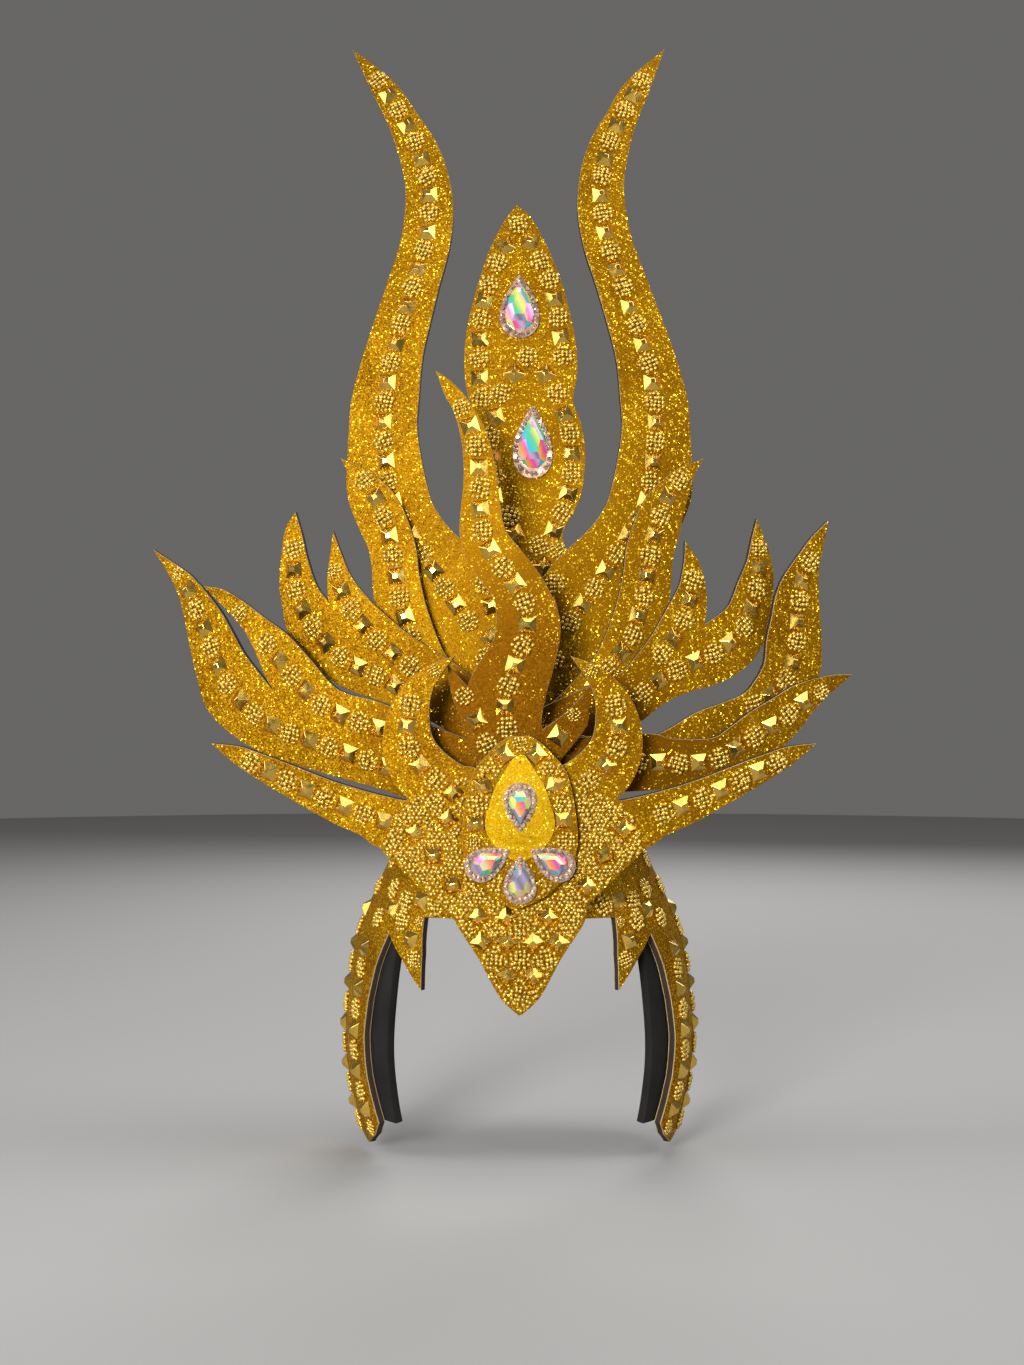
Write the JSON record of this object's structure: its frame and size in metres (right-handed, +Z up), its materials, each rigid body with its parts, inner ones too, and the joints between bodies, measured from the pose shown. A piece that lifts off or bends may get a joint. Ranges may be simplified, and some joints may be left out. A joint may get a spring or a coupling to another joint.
{
  "type": "carnival headdress",
  "caption": "Flame-shaped carnival headdress of glittered foam sheets with tall horns, studs and teardrop crystals on a head frame with long side arms.",
  "frame": {"origin": "top of the head hollow, at the underside of the head band where it rests on the head", "axes": "+Z up, the wearer faces -Y, +X to the right of someone who looks at the face"},
  "size_m": [0.395, 0.1446, 0.643],
  "materials": {
    "gold_glitter": "gold glitter vinyl on foam",
    "black_foam": "matt black foam",
    "crystal": "coated cut crystal in a rim of small stones"
  },
  "bodies": {
    "root": {"helmet": "gold_glitter", "head_band": "black_foam", "spine_block": "black_foam", "front_plate": "gold_glitter", "medallion": "gold_glitter", "centre_flame": "gold_glitter", "lower_wing_left": "gold_glitter", "lower_wing_right_front": "gold_glitter", "lower_wing_right_back": "gold_glitter", "upper_wing_left": "gold_glitter", "upper_wing_right": "gold_glitter", "mid_flame_left": "gold_glitter", "mid_flame_right": "gold_glitter", "horn_left": "gold_glitter", "horn_right": "gold_glitter", "leaf": "gold_glitter", "leaf_crystal_upper": "crystal", "leaf_crystal_lower": "crystal", "petal_crystal_top": "crystal", "petal_crystal_left": "crystal", "petal_crystal_right": "crystal", "petal_crystal_bottom": "crystal"}
  },
  "joints": []
}
